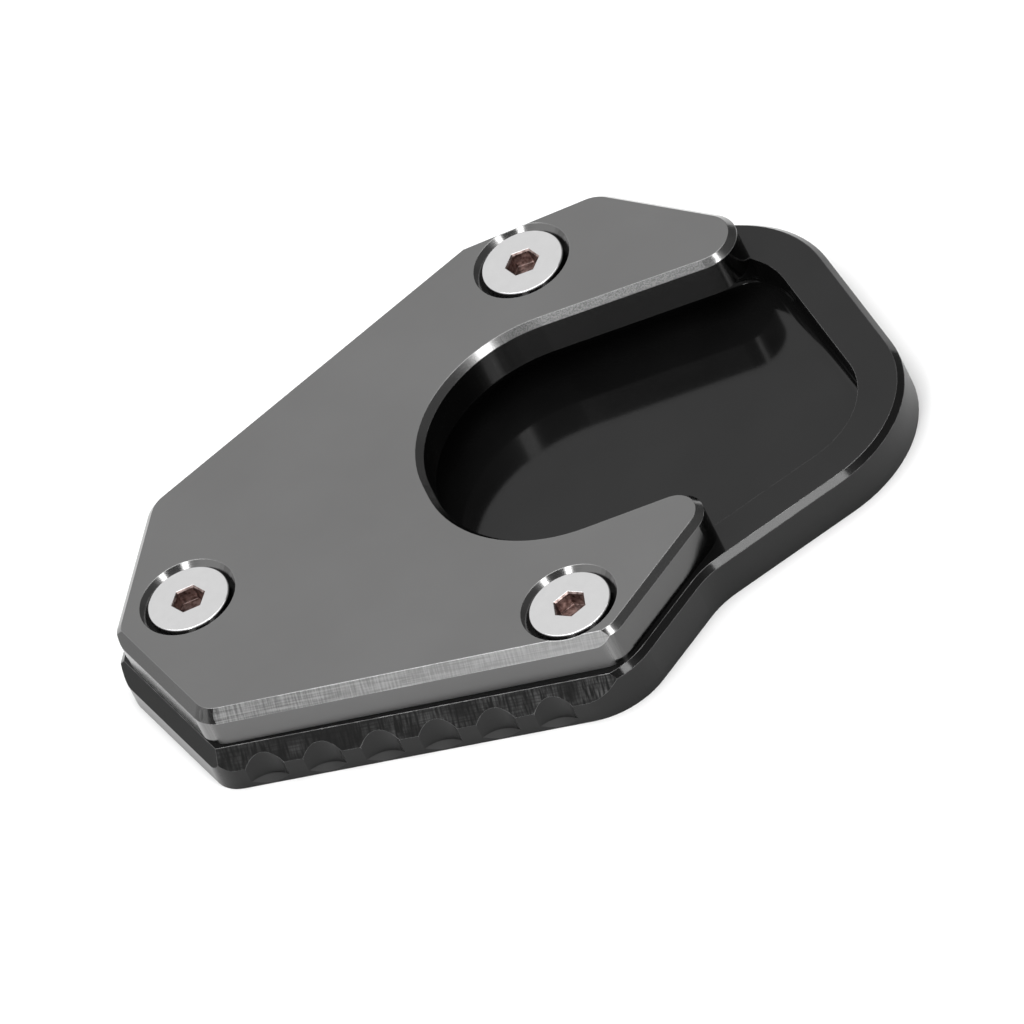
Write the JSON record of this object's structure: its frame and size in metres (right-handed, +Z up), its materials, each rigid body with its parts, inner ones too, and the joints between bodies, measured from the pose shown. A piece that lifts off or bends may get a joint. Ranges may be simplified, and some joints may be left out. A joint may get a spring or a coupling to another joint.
{
  "type": "kickstand foot enlarger",
  "caption": "Two-layer foot extension for a motorcycle side stand: a wide base plate with a pocket for the stand's foot, under a C-shaped clamp plate held by countersunk screws.",
  "frame": {"origin": "centre of the bounding box, on the underside that lies on the ground", "axes": "+Z up from the ground; +X towards the open end of the clamp plate, along the length; -Y towards the fluted front edge"},
  "size_m": [0.1168, 0.0898, 0.0129],
  "materials": {
    "black_anodised": "glossy black anodised",
    "grey_anodised": "satin titanium-grey anodised",
    "screw_steel": "bright stainless steel"
  },
  "bodies": {
    "root": {"base_plate": "black_anodised", "top_plate": "grey_anodised", "rear_screw": "screw_steel", "left_screw": "screw_steel", "front_screw": "screw_steel"}
  },
  "joints": []
}
